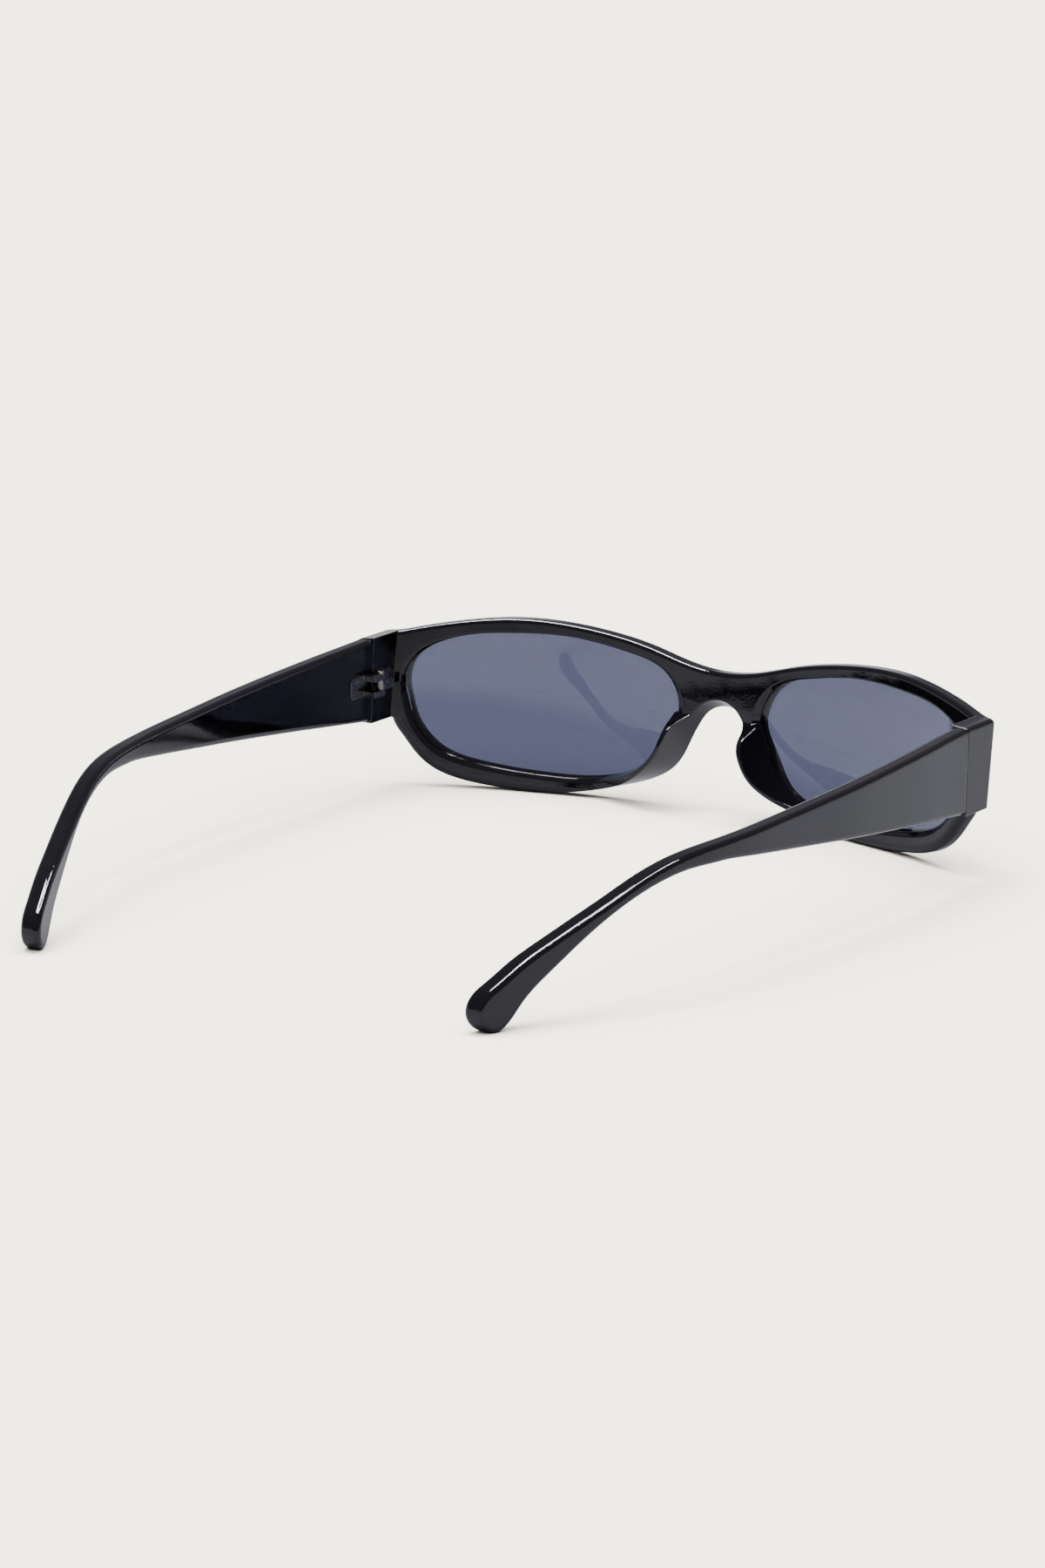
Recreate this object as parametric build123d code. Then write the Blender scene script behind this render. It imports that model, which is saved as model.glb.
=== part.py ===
from build123d import *
from math import cos, radians, sin, sqrt, tan
import os

os.makedirs("parts", exist_ok=True)

# Narrow rectangle sunglasses, in millimetres.
# While it is modelled, x runs to the wearer's right, y forward and z up, from a point level with the top of
# the endpieces, in the plane of the hinge seams and midway between the temples.
# The finished pieces are moved so that the origin lies under the middle of the open glasses.

# Overall sizes: the lenses, the bridge between them, the rims round them and the temples behind the hinges
lens_width = 57.0
lens_height = 28.0
bridge_width = 18.5
rim_side_wall = 5.643
rim_low_wall = 3.9
brow_wall = 2.5
temple_length = 137.0
overrun = 2.0

# Front
wrap_radius = 142.0
front_thickness = 3.6
face_tilt = 8.0
endpiece_height = 16.8
endpiece_length = 6.15
endpiece_thickness = 3.8
endpiece_root_share = 0.65
seam_tilt = 3.2
brow_back_round = 0.8
brow_front_round = 1.0
rim_back_round = 1.5
rim_front_round = 0.7
endpiece_corner_round = 1.4

# Outline of the front, as shares: the brow's of half the width and of its rise above the endpieces' top, the
# rim's of half the width and of its drop below the endpieces
brow_shares = [
    (0.0, -0.73), (0.115, -0.49), (0.23, 0.09), (0.37, 0.62), (0.51, 0.93),
    (0.64, 0.99), (0.80, 0.66), (0.90, 0.30), (0.95, 0.10), (1.0, 0.03), (1.1, 0.0),
]
rim_shares = [(0.935, 0.29), (0.898, 0.534), (0.855, 0.723), (0.788, 0.867), (0.68, 0.962), (0.54, 1.0)]
rim_corner_inset = 0.1
rim_start_shares = (-0.3, -1.0)

# Lenses and their openings
lens_centre_share = 0.4536
lens_turn = 14.8
lens_thickness = 1.3
lens_recess = 1.25
lens_bulge = 1.7
lens_bite = 0.6
lens_play = 0.05
opening_chamfer = 1.1
opening_low_chamfer = 0.6

# Outline of a lens opening, as shares of half its width outwards and of half its height upwards
lens_shares = [
    (1.00, 0.10), (0.97, 0.54), (0.76, 0.83), (0.31, 0.98), (-0.20, 0.98), (-0.575, 0.85), (-0.90, 0.57),
    (-0.98, 0.12), (-0.87, -0.32), (-0.72, -0.76), (-0.42, -0.995), (0.03, -1.025), (0.50, -0.92),
    (0.80, -0.69), (0.95, -0.28),
]

# Nose opening and the pads moulded beside it
pad_reach = 6.3
pad_root = 0.8

# Outline of the nose opening at the front skin and at the pads' crest, as shares of the bridge's width and of
# the rim's drop
nose_front_shares = [
    (0.0, -0.327), (0.122, -0.343), (0.238, -0.392), (0.322, -0.490), (0.407, -0.598), (0.494, -0.700),
    (0.609, -0.784), (0.789, -0.853), (1.082, -0.918), (1.514, -0.967), (2.002, -1.003),
]
nose_crest_shares = [
    (0.0, -0.154), (0.216, -0.196), (0.375, -0.294), (0.413, -0.441), (0.466, -0.546), (0.557, -0.647),
    (0.700, -0.739), (0.899, -0.817), (1.178, -0.899), (1.566, -0.961), (2.002, -1.003),
]

# Side of the pads towards the lens, at the lens edge and at the crest, as shares of the same two
pad_edge_shares = [
    (0.757, -0.090), (0.624, -0.170), (0.541, -0.300), (0.545, -0.400), (0.666, -0.539), (0.798, -0.670),
    (0.916, -0.750), (1.135, -0.822), (1.400, -0.865), (1.665, -0.900),
]
pad_crest_shares = [
    (0.757, -0.070), (0.605, -0.160), (0.492, -0.300), (0.462, -0.400), (0.512, -0.529), (0.595, -0.640),
    (0.720, -0.722), (0.920, -0.798), (1.210, -0.868), (1.627, -0.930),
]

# Side view of the pads: shares of their reach behind the front, and of the rim's drop
pad_profile_shares = [
    (0.0, -0.380), (0.2, -0.400), (0.5, -0.425), (0.8, -0.458), (0.96, -0.508), (1.0, -0.60),
    (0.96, -0.715), (0.70, -0.81), (0.30, -0.89), (0.0, -0.945),
]

# Temples
temple_thickness = 3.7
tail_thickness = 4.0
temple_root_rise = 0.2
temple_root_step = -0.05
seam_gap = 0.15
temple_edge_round = 1.0
temple_straight_share = 0.588
temple_low_straight_share = 0.559
top_bend_share = -0.131
low_bend_share = -0.2745

# Outer side of a temple in plan, from the seam back: shares of half the width and of the temple's length
temple_plan_shares = [
    (1.0, 0.0), (1.007, 0.09), (1.0125, 0.20), (1.0115, 0.32), (1.0000, 0.44), (0.9900, 0.53),
    (0.9670, 0.625), (0.9286, 0.713), (0.8750, 0.801), (0.8085, 0.890), (0.7460, 0.971), (0.690, 1.04),
]

# Side view of a temple behind its straight part: shares of its length and of the rim's drop
temple_top_shares = [
    (0.669, -0.155), (0.713, -0.1895), (0.757, -0.2516), (0.801, -0.336), (0.8456, -0.424),
    (0.890, -0.514), (0.934, -0.610), (0.970, -0.712), (0.993, -0.790),
]
temple_tail_shares = (1.0, -0.875)
temple_low_shares = [
    (0.993, -0.955), (0.973, -1.0), (0.952, -0.945), (0.934, -0.850), (0.890, -0.688), (0.8456, -0.547),
    (0.801, -0.4265), (0.757, -0.338), (0.713, -0.280), (0.669, -0.2545), (0.625, -0.255),
]

# Hinges
hinge_axis_inset = 5.4
hinge_top_drop = 6.5
barrel_radius = 0.95
knuckle_height = 2.0
prong_height = 1.15
knuckle_gap = 0.05
shank_radius = 0.45
running_clearance = 0.04
screw_head_radius = 0.8
screw_head_height = 0.6
screw_slot_width = 0.25
screw_slot_depth = 0.3
leaf_thickness = 0.9
leaf_setback = 2.0
leaf_root_length = 1.4
arm_thickness = 1.6
front_leaf_length = 4.5
temple_leaf_length = 5.7
leaf_corner_cut = 0.6

lens_across = lens_width * cos(radians(lens_turn))
lens_centre_x = (bridge_width + lens_across) / 2
lens_centre_drop = lens_centre_share * lens_height
lens_radius = wrap_radius * lens_width ** 2 / (lens_width ** 2 + 8 * lens_bulge * wrap_radius)
half_width = bridge_width / 2 + lens_across + rim_side_wall
front_width = 2 * half_width
rim_drop = lens_centre_drop + lens_height / 2 + rim_low_wall
brow_rise = lens_height / 2 - lens_centre_drop + brow_wall
lean = tan(radians(face_tilt))
wrap_centre = endpiece_length - sqrt(wrap_radius ** 2 - half_width ** 2)
bridge_advance = wrap_centre + wrap_radius
inner_face_x = half_width - endpiece_thickness
base_level = -rim_drop - overrun
top_level = brow_rise + overrun


def wrap_y(offset, x):
    """The place, before the lean, of a surface that lies this far in front of the front's back face."""
    return wrap_centre + sqrt((wrap_radius + offset) ** 2 - x ** 2)


def leaning_prism(profile, low, high):
    """A plan profile, drawn for the endpieces' top level, as a prism that leans with the face."""
    base = Pos(0, lean * low, low) * profile
    return extrude(base, amount=(high - low) * sqrt(1 + lean ** 2), dir=(0, lean, 1))


def slab(back, front):
    """The curved, leaning slab between two surfaces, each given by its place ahead of the back face."""
    ring = Pos(0, wrap_centre) * (Circle(wrap_radius + front) - Circle(wrap_radius + back))
    window = Pos(0, bridge_advance) * Rectangle(2 * (half_width + overrun), wrap_radius)
    return leaning_prism(ring & window, base_level, top_level)


def endpiece(side):
    """The part of the front that turns back along the temple to the hinge seam."""
    wide = endpiece_thickness + overrun
    middle = half_width + overrun - wide / 2
    root = wrap_y(endpiece_root_share * front_thickness, half_width)
    back = -endpiece_thickness
    profile = Pos(side * middle, (root + back) / 2) * Rectangle(wide, root - back)
    block = leaning_prism(profile, base_level, top_level)
    below = Pos(side * middle, (root + back) / 2, -endpiece_height) * Box(
        2 * wide, 4 * root, 2 * rim_drop, align=(Align.CENTER, Align.CENTER, Align.MAX)
    )
    return block - below


def outline_face(y):
    """The front's outline at one distance forward; the lower rim's walls point at the wrap's axis."""
    def rim_spot(x, drop_share):
        z = -endpiece_height - drop_share * (rim_drop - endpiece_height)
        skin = wrap_y(front_thickness, x) + lean * z
        return (x * (y - wrap_centre) / (skin - wrap_centre), y, z)

    brow = [(x_share * half_width, y, z_share * brow_rise) for x_share, z_share in brow_shares]
    top = [(-x, y, z) for x, _, z in reversed(brow[1:])] + brow
    corner_x = (inner_face_x - rim_corner_inset) * (wrap_radius + front_thickness) / wrap_radius
    rim = [rim_spot(corner_x, 0)] + [rim_spot(share * half_width, drop_share) for share, drop_share in rim_shares]
    left_rim = [(-x, y, z) for x, _, z in reversed(rim)]
    across, down = rim_start_shares
    spread = (y - wrap_centre) / (wrap_y(0, half_width) - wrap_centre)
    flank = half_width * max(spread, 1) * brow_shares[-1][0] + overrun
    edges = [
        Spline(*top),
        Line(top[-1], (flank, y, top[-1][2])),
        Line((flank, y, top[-1][2]), (flank, y, -endpiece_height)),
        Line((flank, y, -endpiece_height), rim[0]),
        Spline(*rim, tangents=[(across, 0, down), (-1, 0, 0)]),
        Line(rim[-1], left_rim[0]),
        Spline(*left_rim, tangents=[(-1, 0, 0), (across, 0, -down)]),
        Line(left_rim[-1], (-flank, y, -endpiece_height)),
        Line((-flank, y, -endpiece_height), (-flank, y, top[-1][2])),
        Line((-flank, y, top[-1][2]), top[0]),
    ]
    return Face(Wire(edges))


def offset_of(edge):
    """How far an edge's middle lies ahead of the front's back face."""
    middle = edge @ 0.5
    plan_y = middle.Y - lean * middle.Z - wrap_centre
    return sqrt(middle.X ** 2 + plan_y ** 2) - wrap_radius


def above(edges, level):
    return [edge for edge in edges if edge.bounding_box().min.Z > level]


def below(edges, level):
    return [edge for edge in edges if edge.bounding_box().min.Z < level]


def both_sides(solid):
    return [solid, mirror(solid, about=Plane.YZ)]


def front_blank():
    """The front before its openings are cut, with its long edges rounded."""
    width = Box(front_width, 2 * wrap_radius, 2 * wrap_radius)
    blank = (slab(0, front_thickness) + endpiece(1) + endpiece(-1)) & width
    corners = [
        edge for edge in blank.edges()
        if edge.length > rim_drop and abs(edge.center().X) > half_width - seam_gap and offset_of(edge) > 0
    ]
    blank = fillet(corners, endpiece_corner_round)
    depth = wrap_y(front_thickness, 0) + overrun
    blank = blank & loft([outline_face(-endpiece_thickness), outline_face(depth)], ruled=True)
    blank = blank - Rot(X=-seam_tilt) * Box(
        2 * front_width, front_width, front_width, align=(Align.CENTER, Align.MAX, Align.CENTER)
    )
    brow_front = max(above(blank.edges(), -brow_rise), key=lambda edge: edge.length)
    blank = fillet(brow_front, brow_front_round)
    brow_long = [edge for edge in above(blank.edges(), -brow_rise) if edge.length > 1.5 * half_width]
    blank = fillet(min(brow_long, key=offset_of), brow_back_round)
    rim_edges = [edge for edge in below(blank.edges(), -endpiece_height - overrun) if edge.length > rim_drop]
    blank = fillet([edge for edge in rim_edges if offset_of(edge) < front_thickness / 2], rim_back_round)
    rim_edges = [edge for edge in below(blank.edges(), -endpiece_height - overrun) if edge.length > rim_drop]
    front_most = max(offset_of(edge) for edge in rim_edges)
    fronts = [edge for edge in rim_edges if offset_of(edge) > front_most - rim_front_round]
    blank = fillet(fronts, rim_front_round)
    return blank


def lens_prism(grow, rise, squeeze):
    """A lens outline as a prism through the right side of the front, square to the lens."""
    turn = radians(lens_turn)
    middle_y = wrap_y(0, lens_centre_x) - lean * lens_centre_drop
    plane = Plane(
        origin=(lens_centre_x, middle_y, -lens_centre_drop),
        x_dir=(cos(turn), -sin(turn), 0),
        z_dir=(-sin(turn), -cos(turn), 0),
    )
    half_across = lens_width / 2 + grow
    half_up = lens_height / 2 + grow - squeeze
    points = [(across * half_across, up * half_up + rise) for across, up in lens_shares]
    outline = Face(Wire([Spline(*points, periodic=True)]))
    return extrude(plane * Pos(0, 0, -lens_height / 2) * outline, amount=lens_height, dir=plane.z_dir)


def cut_openings(front):
    """Both lens openings; a sloping edge runs round the back of each, narrower below, and fades out above."""
    low_inset = opening_chamfer - opening_low_chamfer
    rise = (low_inset - opening_chamfer) / 2
    squeeze = (low_inset + opening_chamfer) / 2
    for cutter in both_sides(lens_prism(0, rise, squeeze)):
        front = front - cutter
    rims = [edge for edge in front.edges() if edge.is_closed and edge.length > lens_width]
    front = chamfer([edge for edge in rims if offset_of(edge) < front_thickness / 2], opening_chamfer)
    for cutter in both_sides(lens_prism(-seam_gap, 0, 0)):
        front = front - cutter
    return front


def leaning_points(points, y):
    """Points of the front view, laid on an upright plane that leans with the face."""
    return [(x, y + lean * z, z) for x, z in points]


def blend_shares(start, end, share):
    return [
        ((a[0] + share * (b[0] - a[0])) * bridge_width, (a[1] + share * (b[1] - a[1])) * rim_drop)
        for a, b in zip(start, end)
    ]


def pad_section(share, y):
    """The region between the lens sides of the two pads, at one depth."""
    points = blend_shares(pad_edge_shares, pad_crest_shares, share)
    right = leaning_points(points, y)
    left = leaning_points([(-x, z) for x, z in reversed(points)], y)
    edges = [Spline(*right), Line(right[-1], left[0]), Spline(*left), Line(left[-1], right[0])]
    return Face(Wire(edges))


def pads():
    """The nose pads as one block that is still joined across the nose opening."""
    start_y = bridge_advance + pad_root
    crest_y = bridge_advance - pad_reach
    end_y = crest_y - overrun
    reach = (start_y - end_y) / (start_y - crest_y)
    between_lenses = loft([pad_section(0, start_y), pad_section(reach, end_y)], ruled=True)
    curve = [
        (0, bridge_advance - reach_share * pad_reach + lean * drop_share * rim_drop, drop_share * rim_drop)
        for reach_share, drop_share in pad_profile_shares
    ]
    front_y = start_y + overrun
    top_corner = (0, front_y + lean * curve[0][2], curve[0][2])
    low_corner = (0, front_y + lean * curve[-1][2], curve[-1][2])
    profile = Face(Wire([
        Spline(*curve), Line(curve[-1], low_corner), Line(low_corner, top_corner), Line(top_corner, curve[0])
    ]))
    return between_lenses & extrude(profile, amount=half_width, dir=(1, 0, 0), both=True)


def nose_section(share, y):
    points = blend_shares(nose_front_shares, nose_crest_shares, share)
    right = leaning_points(points, y)
    left = leaning_points([(-x, z) for x, z in reversed(points[1:])], y)
    floor_y = y + lean * base_level
    right_floor = (right[-1][0], floor_y, base_level)
    left_floor = (left[0][0], floor_y, base_level)
    return Face(Wire([
        Spline(*(left + right)), Line(right[-1], right_floor), Line(right_floor, left_floor),
        Line(left_floor, left[0]),
    ]))


def nose_cutter():
    """The nose opening, which widens from the front skin to the pads' crest."""
    front_y = bridge_advance + front_thickness
    crest_y = bridge_advance - pad_reach
    margin = overrun / (front_y - crest_y)
    sections = [
        nose_section(-margin, front_y + overrun),
        nose_section(1 + 2 * margin, crest_y - 2 * overrun),
    ]
    return loft(sections, ruled=True)


def lens_solid(grow, play):
    """The right lens, or its groove: a sheet between two spheres, which bulges ahead of the wrap's curve."""
    turn = radians(lens_turn)
    depth = lens_recess + lens_bulge
    middle = (lens_centre_x, wrap_y(depth, lens_centre_x) - lean * lens_centre_drop, -lens_centre_drop)
    ahead = Vector(sin(turn), cos(turn), -lean * cos(turn)).normalized()
    sheet = Sphere(lens_radius + lens_thickness + play) - Sphere(lens_radius - play)
    return Pos(Vector(*middle) - lens_radius * ahead) * sheet & lens_prism(grow, 0, 0)


# Places of the hinges
axis_x = half_width - hinge_axis_inset
stack_height = knuckle_height + 2 * prong_height + 2 * knuckle_gap
stack_low = -hinge_top_drop - stack_height
temple_face_x = half_width - temple_thickness


def leaf_plate(face_x, start_y, end_y):
    """A hinge leaf's plate, sunk flush in the plastic; its far corners are cut."""
    length = abs(end_y - start_y)
    middle = (face_x + leaf_thickness / 2, (start_y + end_y) / 2, stack_low + stack_height / 2)
    plate = Pos(*middle) * Box(leaf_thickness, length, stack_height)
    far = [
        edge for edge in plate.edges().filter_by(Axis.X)
        if abs(edge.center().Y - end_y) < leaf_corner_cut
    ]
    return chamfer(far, leaf_corner_cut)


def leaf_arm(face_x, direction, low, height):
    """One knuckle's arm: a root that rises from the plate and a bar that runs to the axis."""
    inner_x = axis_x - barrel_radius
    root_y = direction * (leaf_setback + leaf_root_length)
    bar = Pos(inner_x, root_y / 2, low) * Box(
        arm_thickness, abs(root_y), height, align=(Align.MIN, Align.CENTER, Align.MIN)
    )
    root_middle = direction * (leaf_setback + leaf_root_length / 2)
    root = Pos(inner_x, root_middle, low) * Box(
        face_x + leaf_thickness / 2 - inner_x, leaf_root_length, height,
        align=(Align.MIN, Align.CENTER, Align.MIN),
    )
    barrel = Pos(axis_x, 0, low) * Cylinder(
        barrel_radius, height, align=(Align.CENTER, Align.CENTER, Align.MIN)
    )
    return bar + root + barrel


def upright(radius, low, height):
    return Pos(axis_x, 0, low) * Cylinder(
        radius, height, align=(Align.CENTER, Align.CENTER, Align.MIN)
    )


def front_leaf():
    """The endpiece's half of the right hinge, with the middle knuckle."""
    plate = leaf_plate(inner_face_x, leaf_setback, leaf_setback + front_leaf_length)
    low = stack_low + prong_height + knuckle_gap
    leaf = plate + leaf_arm(inner_face_x, 1, low, knuckle_height)
    return leaf - upright(shank_radius + running_clearance, low - overrun, knuckle_height + 2 * overrun)


def temple_leaf():
    """The temple's half of the right hinge, with the outer two knuckles."""
    plate = leaf_plate(temple_face_x, -leaf_setback, -leaf_setback - temple_leaf_length)
    leaf = plate
    for low in (stack_low, stack_low + stack_height - prong_height):
        leaf = leaf + leaf_arm(temple_face_x, -1, low, prong_height)
    bore = upright(shank_radius + running_clearance / 2, stack_low - overrun, stack_height + 2 * overrun)
    return leaf - bore


def hinge_screw():
    """The right hinge's slotted screw, with its head on the upper knuckle."""
    top = stack_low + stack_height
    screw = upright(shank_radius, stack_low, stack_height) + upright(screw_head_radius, top, screw_head_height)
    slot = Pos(axis_x, 0, top + screw_head_height) * Box(
        screw_slot_width, 4 * screw_head_radius, 2 * screw_slot_depth
    )
    return screw - slot


def front_frame():
    """The moulded front: rims, bridge, pads and endpieces, with lens grooves and hinge pockets."""
    front = cut_openings(front_blank())
    front = front + pads()
    front = front - nose_cutter()
    for groove in both_sides(lens_solid(lens_bite, lens_play)):
        front = front - groove
    plate = leaf_plate(inner_face_x, leaf_setback, leaf_setback + front_leaf_length)
    for pocket in both_sides(plate):
        front = front - pocket
    return front


def temple_strip():
    """A temple in plan, as a prism: its outer curve and a parallel inner one."""
    outer_points = [(x_share * half_width, -y_share * temple_length) for x_share, y_share in temple_plan_shares]
    first = (outer_points[0][0], overrun)
    outer = Spline(*([first] + outer_points))
    steps = len(outer_points)
    inner_points = []
    for step in range(steps + 1):
        spot = outer @ (step / steps)
        heading = outer % (step / steps)
        thickness = temple_thickness + (tail_thickness - temple_thickness) * step / steps
        inner_points.append((spot.X + thickness * heading.Y, spot.Y - thickness * heading.X))
    inner = Spline(*inner_points)
    ends = [Line(outer @ 1, inner @ 1), Line(inner @ 0, outer @ 0)]
    plan = Face(Wire([outer, ends[0], inner, ends[1]]))
    return extrude(Pos(0, 0, base_level) * plan, amount=top_level - base_level, dir=(0, 0, 1))


def temple_profile():
    """A temple in side view, as a prism across: straight at first, then a waist and a round tip."""
    def spot(length_share, drop_share):
        return (0, -length_share * temple_length, drop_share * rim_drop)

    root_top = (0, overrun, temple_root_rise)
    root_low = (0, overrun, temple_root_step - endpiece_height)
    top_start = spot(temple_straight_share, top_bend_share)
    low_end = spot(temple_low_straight_share, low_bend_share)
    top_way = Vector(*top_start) - Vector(*root_top)
    low_way = Vector(*root_low) - Vector(*low_end)
    curve = [top_start] + [spot(*share) for share in temple_top_shares] + [spot(*temple_tail_shares)]
    curve = curve + [spot(*share) for share in temple_low_shares] + [low_end]
    edges = [
        Line(root_top, top_start),
        Spline(*curve, tangents=[top_way, low_way]),
        Line(low_end, root_low),
        Line(root_low, root_top),
    ]
    return extrude(Face(Wire(edges)), amount=front_width, dir=(1, 0, 0))


def temple():
    """The right temple."""
    arm = temple_strip() & temple_profile()
    ahead_of_seam = Rot(X=-seam_tilt) * Pos(0, -seam_gap) * Box(
        2 * front_width, front_width, front_width, align=(Align.CENTER, Align.MIN, Align.CENTER)
    )
    arm = arm - ahead_of_seam
    bent_edges = [edge for edge in arm.edges() if edge.length > temple_length - half_width]
    loops = [edge for edge in bent_edges if (edge @ 0.5).Y < -half_width]
    arm = fillet(loops, temple_edge_round)
    return arm - leaf_plate(temple_face_x, -leaf_setback, -leaf_setback - temple_leaf_length)


pieces = {"front_frame": front_frame()}
right_pieces = {
    "lens": lens_solid(lens_bite - lens_play, 0),
    "temple": temple(),
    "front_hinge_leaf": front_leaf(),
    "temple_hinge_leaf": temple_leaf(),
    "hinge_screw": hinge_screw(),
}
for name, solid in right_pieces.items():
    pieces["right_" + name] = solid
    pieces["left_" + name] = mirror(solid, about=Plane.YZ)

# The origin lies under the middle of the open glasses
box = Compound(children=[Compound(piece.solids()) for piece in pieces.values()]).bounding_box()
to_origin = Pos(0, -(box.min.Y + box.max.Y) / 2, -box.min.Z)
for name, piece in pieces.items():
    placed = to_origin * piece
    export_step(placed, f"parts/{name}.step")

axis_y = -(box.min.Y + box.max.Y) / 2
print("hinge axes at x", round(axis_x, 3), "y", round(axis_y, 3), "seam level z", round(-box.min.Z, 3))
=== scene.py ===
import math

import bpy
from mathutils import Matrix, Vector

# Narrow rectangle sunglasses in black moulded plastic with grey lenses, standing open on a pale sweep.
# The wearer looks along +Y, x runs to the wearer's right and z up. Lengths are in metres.
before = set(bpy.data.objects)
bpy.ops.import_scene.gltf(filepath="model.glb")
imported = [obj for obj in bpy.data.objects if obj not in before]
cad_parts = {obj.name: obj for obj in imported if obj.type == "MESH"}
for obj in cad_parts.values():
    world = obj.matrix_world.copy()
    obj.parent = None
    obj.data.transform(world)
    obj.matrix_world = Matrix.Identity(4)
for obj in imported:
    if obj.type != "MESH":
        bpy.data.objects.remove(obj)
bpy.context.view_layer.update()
MM = 0.001

# Camera: its direction in degrees, its distance from the seams and how far it is shifted aside and up. Its
# lens and its sensor are in millimetres.
CAMERA_AZIMUTH = 33.25
CAMERA_ELEVATION = 13.956
CAMERA_ROLL = 0.153
CAMERA_DISTANCE = 1351.3 * MM
CAMERA_ASIDE = -25.733 * MM
CAMERA_UP = -19.632 * MM
CAMERA_LENS = 160.0
SENSOR_SIZE = 36.0
NEAR_CLIP = 50 * MM
FAR_CLIP = 100.0

# Midway between the temples, in the plane of the hinge seams and level with the top of the endpieces
SEAMS = Vector((0, 54.668 * MM, 30.603 * MM))

# Sweep: half its width, its colour as the object reflects it, its paler colour as the camera sees it, and
# the grain of its paper
SWEEP_HALF = 4.5
SWEEP_COLOUR = (0.139, 0.140, 0.150, 1)
SWEEP_SHOWN = (0.585, 0.560, 0.475, 1)
SWEEP_GRAIN = 300.0
SWEEP_GRAIN_DETAIL = 2.0
SWEEP_GRAIN_DEPTH = 0.02 * MM

# Sky: as the camera sees it, then as the object reflects it, low and high along the sky's own axis, and the
# heights between which low gives way to high
SKY_SHOWN = (4.55, 4.38, 3.72, 1)
SKY_LOW = (1.05, 1.06, 1.10, 1)
SKY_HIGH = (0.26, 0.25, 0.30, 1)
SKY_AXIS = (0.0685, -0.1045, 1.0)
SKY_EDGES = (0.09, 0.21)

# Lights, all at one height: width and length, power in watts, and the place as a share of the height
LIGHT_HEIGHT = 9.0
SOFTBOX_SIZE = (3.4, 2.6)
SOFTBOX_POWER = 2100.0
SOFTBOX_PLACE = (-0.25, 0.02)
STRIP_SIZE = (1.3, 4.6)
STRIP_POWER = 1100.0
STRIP_PLACE = (0.13, 0.25)
FILL_SIZE = (18.0, 18.0)
FILL_POWER = 8800.0
FILL_PLACE = (0, 0)

# Skin and edges, in every finish that has them: the noise of the slow waves and of the fine skin, and how
# many samples find an edge
WAVE_DETAIL = 1.5
WAVE_ROUGHNESS = 0.4
SKIN_DETAIL = 2.0
EDGE_SAMPLES = 8

# Marks of handling, in every finish: their noise, and the levels of it between which a mark fades in
SMUDGE_DETAIL = 4.0
SMUDGE_ROUGHNESS = 0.55
SMUDGE_EDGES = (0.35, 0.7)
SPECK_DETAIL = 1.0
SPECK_EDGES = (0.74, 0.80)
SPECK_SCALE = 1400.0

# Black plastic: colours, then the scales of its smudges and its skin, and the skin's share of the relief
BLACK_PLASTIC = (0.0006, 0.0006, 0.0008, 1)
WORN_BLACK = (0.002, 0.002, 0.0023, 1)
PLASTIC_SHINE = (0.93, 0.93, 1.0, 1)
PLASTIC_IOR = 1.5
PLASTIC_SMUDGES = 60.0
PLASTIC_SKIN = 2500.0
PLASTIC_SKIN_SHARE = 0.1
PLASTIC_STRENGTH = 1.0

# Lenses
LENS_TINT = (0.113, 0.121, 0.189, 1)
LENS_SMUDGES = 40.0
LENS_ROUGHNESS = (0.0, 0.02)

# Metal of the hinges: colours and how dark a speck is, then its scales, its relief and its rounded edges
GUNMETAL = (0.17, 0.168, 0.17, 1)
SCREW_METAL = (0.34, 0.31, 0.26, 1)
WORN_METAL = 0.5
METAL_SMUDGES = 900.0
METAL_WAVE = 1500.0
METAL_SKIN = 9000.0
METAL_SKIN_SHARE = 0.3
METAL_DEPTH = 0.02 * MM
METAL_STRENGTH = 0.6
METAL_EDGE = 0.12 * MM

# Places of the colour sockets on a Mix node, because its number sockets have the same names
MIX_SHARE = 0
MIX_FIRST = 6
MIX_SECOND = 7
MIX_RESULT = 2


def add(tree, kind, links=(), **values):
    """One node, its settings, and the links or values of its inputs."""
    node = tree.nodes.new(kind)
    for key, value in values.items():
        setattr(node, key, value)
    for socket, source in links:
        if isinstance(source, bpy.types.NodeSocket):
            tree.links.new(source, node.inputs[socket])
        else:
            node.inputs[socket].default_value = source
    return node


def mixed(tree, share, first, second):
    """The first colour where the share is 0, and the second where it is 1."""
    mix = add(tree, "ShaderNodeMix", [
        (MIX_SHARE, share), (MIX_FIRST, first), (MIX_SECOND, second),
    ], data_type="RGBA")
    return mix.outputs[MIX_RESULT]


def new_group(name, inputs, outputs):
    """An empty node group, with a number for each of these sockets."""
    group = bpy.data.node_groups.new(name, "ShaderNodeTree")
    for label in inputs:
        group.interface.new_socket(label, in_out="INPUT", socket_type="NodeSocketFloat")
    for label in outputs:
        group.interface.new_socket(label, in_out="OUTPUT", socket_type="NodeSocketFloat")
    return group


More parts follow.
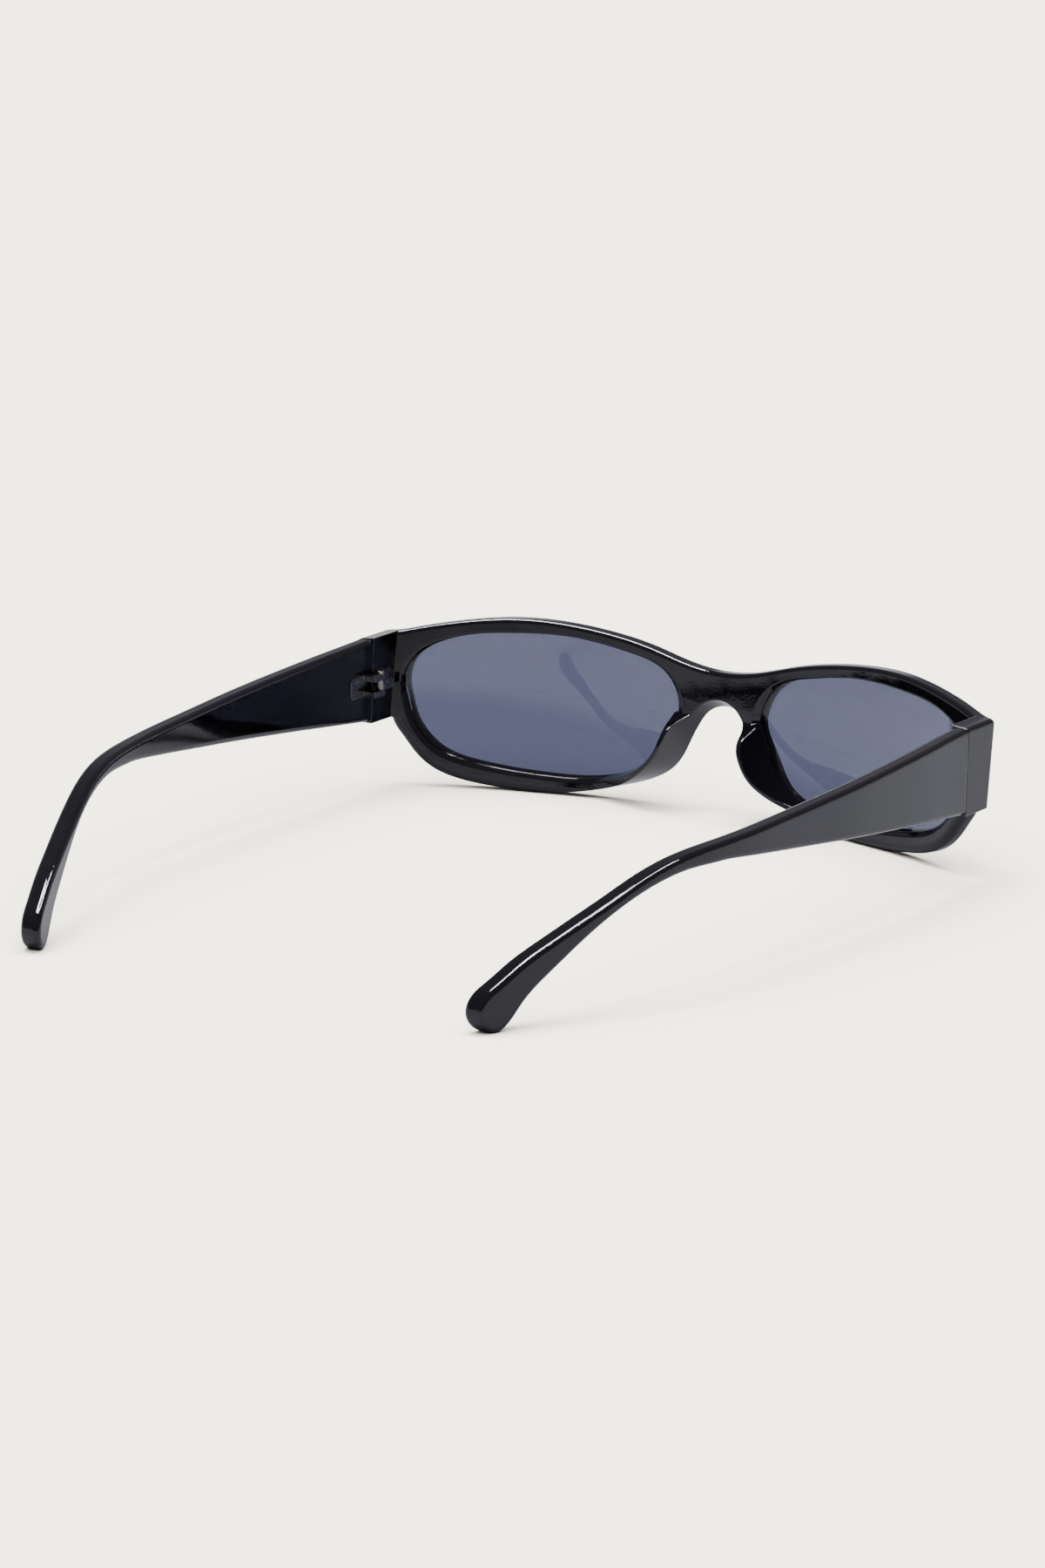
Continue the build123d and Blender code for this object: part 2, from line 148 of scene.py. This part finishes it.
def moulded_skin():
    """The slow waviness and the fine skin that moulded plastic takes from its mould."""
    group = new_group("moulded_skin", ["Wave Scale", "Skin Scale", "Skin Share"], ["Height"])
    source = add(group, "NodeGroupInput")
    place = add(group, "ShaderNodeTexCoord").outputs["Object"]
    wave = add(group, "ShaderNodeTexNoise", [
        ("Vector", place), ("Scale", source.outputs["Wave Scale"]), ("Detail", WAVE_DETAIL),
        ("Roughness", WAVE_ROUGHNESS),
    ])
    skin = add(group, "ShaderNodeTexNoise", [
        ("Vector", place), ("Scale", source.outputs["Skin Scale"]), ("Detail", SKIN_DETAIL),
    ])
    shared = add(group, "ShaderNodeMath", [
        (0, skin.outputs["Fac"]), (1, source.outputs["Skin Share"]),
    ], operation="MULTIPLY")
    total = add(group, "ShaderNodeMath", [
        (0, wave.outputs["Fac"]), (1, shared.outputs["Value"]),
    ], operation="ADD")
    add(group, "NodeGroupOutput", [("Height", total.outputs["Value"])])
    return group


def handling_marks():
    """Where hands have dulled a polished face a little: broad smudges and a few fine specks."""
    group = new_group(
        "handling_marks", ["Smudge Scale", "Speck Scale", "Low", "High"], ["Roughness", "Specks"],
    )
    source = add(group, "NodeGroupInput")
    place = add(group, "ShaderNodeTexCoord").outputs["Object"]
    smudge = add(group, "ShaderNodeTexNoise", [
        ("Vector", place), ("Scale", source.outputs["Smudge Scale"]), ("Detail", SMUDGE_DETAIL),
        ("Roughness", SMUDGE_ROUGHNESS),
    ])
    spread = add(group, "ShaderNodeMapRange", [
        ("Value", smudge.outputs["Fac"]), ("From Min", SMUDGE_EDGES[0]), ("From Max", SMUDGE_EDGES[1]),
        ("To Min", source.outputs["Low"]), ("To Max", source.outputs["High"]),
    ])
    speck = add(group, "ShaderNodeTexNoise", [
        ("Vector", place), ("Scale", source.outputs["Speck Scale"]), ("Detail", SPECK_DETAIL),
    ])
    specks = add(group, "ShaderNodeMapRange", [
        ("Value", speck.outputs["Fac"]), ("From Min", SPECK_EDGES[0]), ("From Max", SPECK_EDGES[1]),
    ])
    add(group, "NodeGroupOutput", [
        ("Roughness", spread.outputs["Result"]), ("Specks", specks.outputs["Result"]),
    ])
    return group


MOULDED_SKIN = moulded_skin()
HANDLING_MARKS = handling_marks()


def new_material(name):
    """A material with no nodes yet, and its node tree."""
    material = bpy.data.materials.new(name)
    material.use_nodes = True
    tree = material.node_tree
    tree.nodes.clear()
    return material, tree


def marks_on(tree, smudges, roughness):
    """The handling marks of one finish, from its low to its high roughness."""
    low, high = roughness
    return add(tree, "ShaderNodeGroup", [
        ("Smudge Scale", smudges), ("Speck Scale", SPECK_SCALE), ("Low", low), ("High", high),
    ], node_tree=HANDLING_MARKS)


def relief(tree, wave, skin, skin_share, depth, strength, edge_rounding):
    """The normals of a surface with a skin of this depth, and edges rounded by this radius."""
    surface = add(tree, "ShaderNodeGroup", [
        ("Wave Scale", wave), ("Skin Scale", skin), ("Skin Share", skin_share),
    ], node_tree=MOULDED_SKIN)
    edge = add(tree, "ShaderNodeBevel", [("Radius", edge_rounding)], samples=EDGE_SAMPLES)
    bump = add(tree, "ShaderNodeBump", [
        ("Height", surface.outputs["Height"]), ("Distance", depth), ("Strength", strength),
        ("Normal", edge.outputs["Normal"]),
    ])
    return bump.outputs["Normal"]


def black_plastic(name, roughness, wave, depth, edge_rounding):
    """Black plastic out of a polished mould, its edges softened by tumbling."""
    material, tree = new_material(name)
    marks = marks_on(tree, PLASTIC_SMUDGES, roughness)
    normal = relief(tree, wave, PLASTIC_SKIN, PLASTIC_SKIN_SHARE, depth, PLASTIC_STRENGTH, edge_rounding)
    shader = add(tree, "ShaderNodeBsdfPrincipled", [
        ("Base Color", mixed(tree, marks.outputs["Specks"], BLACK_PLASTIC, WORN_BLACK)),
        ("Roughness", marks.outputs["Roughness"]), ("Normal", normal), ("IOR", PLASTIC_IOR),
        ("Specular Tint", PLASTIC_SHINE),
    ])
    add(tree, "ShaderNodeOutputMaterial", [("Surface", shader.outputs["BSDF"])])
    return material


def lens_plastic():
    """Clear plastic with a grey tint. Its shadow is the light that the two faces let straight through."""
    material, tree = new_material("lens_grey_tint")
    marks = marks_on(tree, LENS_SMUDGES, LENS_ROUGHNESS)
    shader = add(tree, "ShaderNodeBsdfPrincipled", [
        ("Base Color", LENS_TINT), ("Roughness", marks.outputs["Roughness"]), ("IOR", PLASTIC_IOR),
        ("Transmission Weight", 1.0),
    ])
    one_face = tuple(math.sqrt(level) for level in LENS_TINT[:3]) + (1,)
    clear = add(tree, "ShaderNodeBsdfTransparent", [("Color", one_face)])
    path = add(tree, "ShaderNodeLightPath")
    mix = add(tree, "ShaderNodeMixShader", [
        ("Fac", path.outputs["Is Shadow Ray"]), (1, shader.outputs["BSDF"]), (2, clear.outputs["BSDF"]),
    ])
    add(tree, "ShaderNodeOutputMaterial", [("Surface", mix.outputs["Shader"])])
    return material


def metal(name, colour, roughness):
    """Plated metal, a little uneven from forming, with darker specks."""
    material, tree = new_material(name)
    marks = marks_on(tree, METAL_SMUDGES, roughness)
    normal = relief(
        tree, METAL_WAVE, METAL_SKIN, METAL_SKIN_SHARE, METAL_DEPTH, METAL_STRENGTH, METAL_EDGE,
    )
    worn = tuple(WORN_METAL * level for level in colour[:3]) + (1,)
    shader = add(tree, "ShaderNodeBsdfPrincipled", [
        ("Base Color", mixed(tree, marks.outputs["Specks"], colour, worn)), ("Metallic", 1.0),
        ("Roughness", marks.outputs["Roughness"]), ("Normal", normal),
    ])
    add(tree, "ShaderNodeOutputMaterial", [("Surface", shader.outputs["BSDF"])])
    return material


def dress(node, material):
    """Gives a node of the frame its finish."""
    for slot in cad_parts[node].material_slots:
        slot.material = material


def finishes():
    """Every finish on the pieces that wear it."""
    front_black = black_plastic(
        "front_polished_black", roughness=(0.02, 0.06), wave=150.0, depth=0.05 * MM,
        edge_rounding=0.4 * MM,
    )
    temple_black = black_plastic(
        "temple_polished_black", roughness=(0.03, 0.08), wave=70.0, depth=0.03 * MM,
        edge_rounding=0.3 * MM,
    )
    lens_grey = lens_plastic()
    hinge_metal = metal("hinge_gunmetal", GUNMETAL, roughness=(0.16, 0.3))
    screw_metal = metal("screw_bright_metal", SCREW_METAL, roughness=(0.1, 0.22))

    dress("front_frame", front_black)
    for side in ("left", "right"):
        dress(side + "_temple", temple_black)
        dress(side + "_lens", lens_grey)
        dress(side + "_front_hinge_leaf", hinge_metal)
        dress(side + "_temple_hinge_leaf", hinge_metal)
        dress(side + "_hinge_screw", screw_metal)


def sweep():
    """The pale paper ground, which runs on far behind the object."""
    mesh = bpy.data.meshes.new("sweep")
    corners = [(x * SWEEP_HALF, y * SWEEP_HALF, 0) for x, y in ((-1, -1), (1, -1), (1, 1), (-1, 1))]
    mesh.from_pydata(corners, [], [(0, 1, 2, 3)])
    ground = bpy.data.objects.new("sweep", mesh)
    bpy.context.scene.collection.objects.link(ground)
    material, tree = new_material("sweep_paper")
    grain = add(tree, "ShaderNodeTexNoise", [("Scale", SWEEP_GRAIN), ("Detail", SWEEP_GRAIN_DETAIL)])
    bump = add(tree, "ShaderNodeBump", [
        ("Height", grain.outputs["Fac"]), ("Distance", SWEEP_GRAIN_DEPTH),
    ])
    path = add(tree, "ShaderNodeLightPath")
    paper = mixed(tree, path.outputs["Is Camera Ray"], SWEEP_COLOUR, SWEEP_SHOWN)
    matte = add(tree, "ShaderNodeBsdfDiffuse", [("Color", paper), ("Normal", bump.outputs["Normal"])])
    add(tree, "ShaderNodeOutputMaterial", [("Surface", matte.outputs["BSDF"])])
    mesh.materials.append(material)


def sky():
    """A white studio, pale near the ground and darker above. The pale part is taller on the far side.

    Seen by the camera it is about as pale as the sweep, so that the sweep's far edge hardly shows.
    """
    world = bpy.data.worlds.new("studio")
    world.use_nodes = True
    tree = world.node_tree
    tree.nodes.clear()
    direction = add(tree, "ShaderNodeTexCoord").outputs["Generated"]
    height = add(tree, "ShaderNodeVectorMath", [(0, direction), (1, SKY_AXIS)], operation="DOT_PRODUCT")
    share = add(tree, "ShaderNodeMapRange", [
        ("Value", height.outputs["Value"]), ("From Min", SKY_EDGES[0]), ("From Max", SKY_EDGES[1]),
    ], interpolation_type="SMOOTHSTEP")
    reflected = mixed(tree, share.outputs["Result"], SKY_LOW, SKY_HIGH)
    path = add(tree, "ShaderNodeLightPath")
    colour = mixed(tree, path.outputs["Is Camera Ray"], reflected, SKY_SHOWN)
    light = add(tree, "ShaderNodeBackground", [("Color", colour)])
    add(tree, "ShaderNodeOutputWorld", [("Surface", light.outputs["Background"])])
    bpy.context.scene.world = world


def overhead(name, size, power, place):
    """A rectangular light above the object, flat like a ceiling."""
    data = bpy.data.lights.new(name, "AREA")
    data.shape = "RECTANGLE"
    data.size, data.size_y = size
    data.energy = power
    lamp = bpy.data.objects.new(name, data)
    x_share, y_share = place
    lamp.location = (x_share * LIGHT_HEIGHT, y_share * LIGHT_HEIGHT, LIGHT_HEIGHT)
    bpy.context.scene.collection.objects.link(lamp)
    return lamp


def lights():
    """A softbox and a strip, which show as highlights, and the even light of the white room."""
    overhead("softbox", SOFTBOX_SIZE, SOFTBOX_POWER, SOFTBOX_PLACE)
    overhead("strip", STRIP_SIZE, STRIP_POWER, STRIP_PLACE)
    fill = overhead("fill", FILL_SIZE, FILL_POWER, FILL_PLACE)
    fill.visible_glossy = False
    fill.visible_transmission = False


def camera():
    """A camera with a long lens, behind the tip of the right temple and above it."""
    azimuth = math.radians(CAMERA_AZIMUTH)
    elevation = math.radians(CAMERA_ELEVATION)
    roll = math.radians(CAMERA_ROLL)
    level = math.cos(elevation)
    ahead = Vector((-math.sin(azimuth) * level, math.cos(azimuth) * level, -math.sin(elevation)))
    aside = ahead.cross(Vector((0, 0, 1))).normalized()
    up = aside.cross(ahead)
    rolled_aside = math.cos(roll) * aside + math.sin(roll) * up
    rolled_up = math.cos(roll) * up - math.sin(roll) * aside
    place = SEAMS - CAMERA_DISTANCE * ahead + CAMERA_ASIDE * rolled_aside + CAMERA_UP * rolled_up
    turn = Matrix((rolled_aside, rolled_up, -ahead)).transposed()

    data = bpy.data.cameras.new("camera")
    data.lens = CAMERA_LENS
    data.sensor_width = SENSOR_SIZE
    data.clip_start = NEAR_CLIP
    data.clip_end = FAR_CLIP
    eye = bpy.data.objects.new("camera", data)
    eye.matrix_world = Matrix.Translation(place) @ turn.to_4x4()
    bpy.context.scene.collection.objects.link(eye)
    bpy.context.scene.camera = eye


finishes()
sweep()
sky()
lights()
camera()
